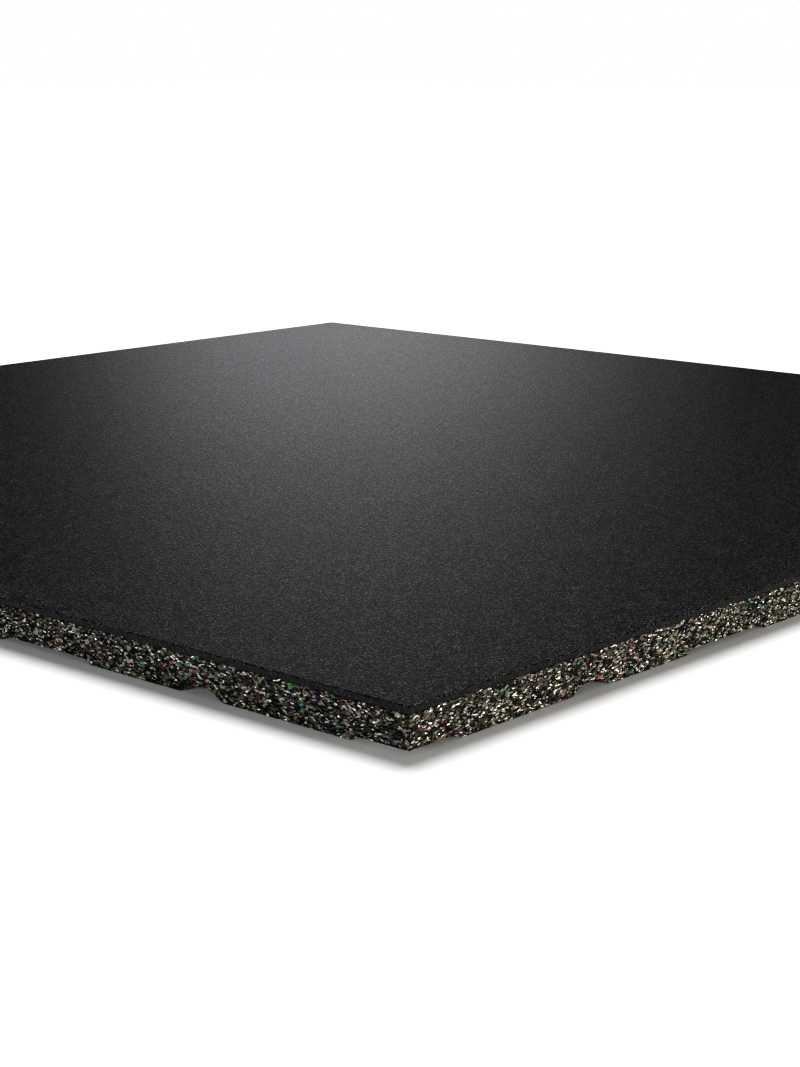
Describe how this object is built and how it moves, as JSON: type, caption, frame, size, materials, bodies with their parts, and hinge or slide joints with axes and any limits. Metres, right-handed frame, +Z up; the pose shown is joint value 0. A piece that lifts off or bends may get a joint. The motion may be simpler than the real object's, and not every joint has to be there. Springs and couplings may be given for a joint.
{
  "type": "floor protection mat",
  "caption": "Square floor protection mat of bonded multicoloured granulate with a black grained wear layer and drainage channels underneath.",
  "frame": {"origin": "centre of the mat, on the plane of the underside's ridges that it rests on", "axes": "+Z up through the mat towards the wear layer, X and Y along the mat's edges"},
  "size_m": [1, 1, 0.0232],
  "materials": {
    "granulate": "cut bonded granulate, mostly black, grey and off-white with sparse coloured flakes",
    "black_wear_layer": "black, fine hammered grain, satin"
  },
  "bodies": {
    "root": {"granulate_base": "granulate", "wear_layer": "black_wear_layer"}
  },
  "joints": []
}
